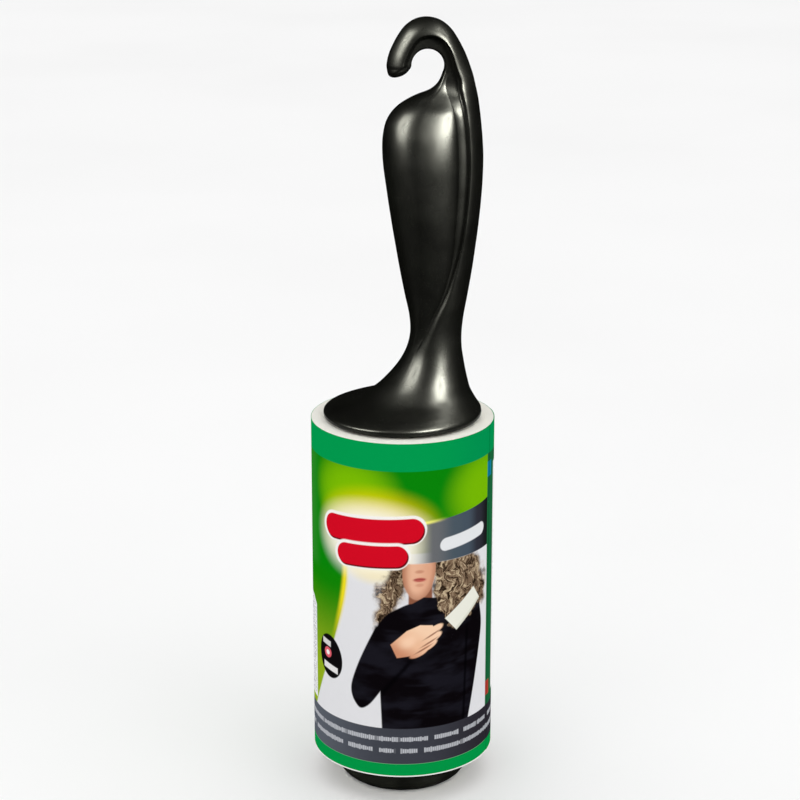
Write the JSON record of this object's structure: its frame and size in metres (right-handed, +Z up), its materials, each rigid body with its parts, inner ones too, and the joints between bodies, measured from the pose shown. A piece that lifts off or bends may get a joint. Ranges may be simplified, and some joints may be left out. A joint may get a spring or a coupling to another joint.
{
  "type": "lint roller",
  "caption": "Sticky-tape lint roller with a hooked palm-swell handle, a free-turning drum and a slide-off printed refill.",
  "frame": {"origin": "centre of the end cap's flat foot, on the roll's axis, where the roller stands", "axes": "+Z up the roll's axis towards the hook, +X towards the handle's outer spine, -Y out of the printed front"},
  "size_m": [0.0519, 0.0518, 0.2213],
  "materials": {
    "handle_black": "gloss",
    "inner_black": "satin",
    "core_board": "matte",
    "tape_paper": "satin",
    "wrapper_print": "gloss"
  },
  "bodies": {
    "handle": {"front_shell": "handle_black", "rear_shell": "handle_black", "stem": "inner_black"},
    "spindle": {"upper_hub": "inner_black", "drum": "inner_black", "lower_hub": "inner_black", "end_cap": "handle_black"},
    "refill": {"core_tube": "core_board", "tape_roll": "tape_paper", "second_sheet": "tape_paper", "first_sheet": "tape_paper", "printed_wrapper": "wrapper_print"}
  },
  "joints": [
    {"name": "roll_spin", "type": "hinge", "parent": "handle", "child": "spindle", "pos_m": [0, 0, 0.06], "axis": [0, 0, 1], "continuous": true},
    {"name": "refill_slide", "type": "slide", "parent": "spindle", "child": "refill", "axis": [0, 0, -1], "range_m": [0, 0.115]}
  ]
}
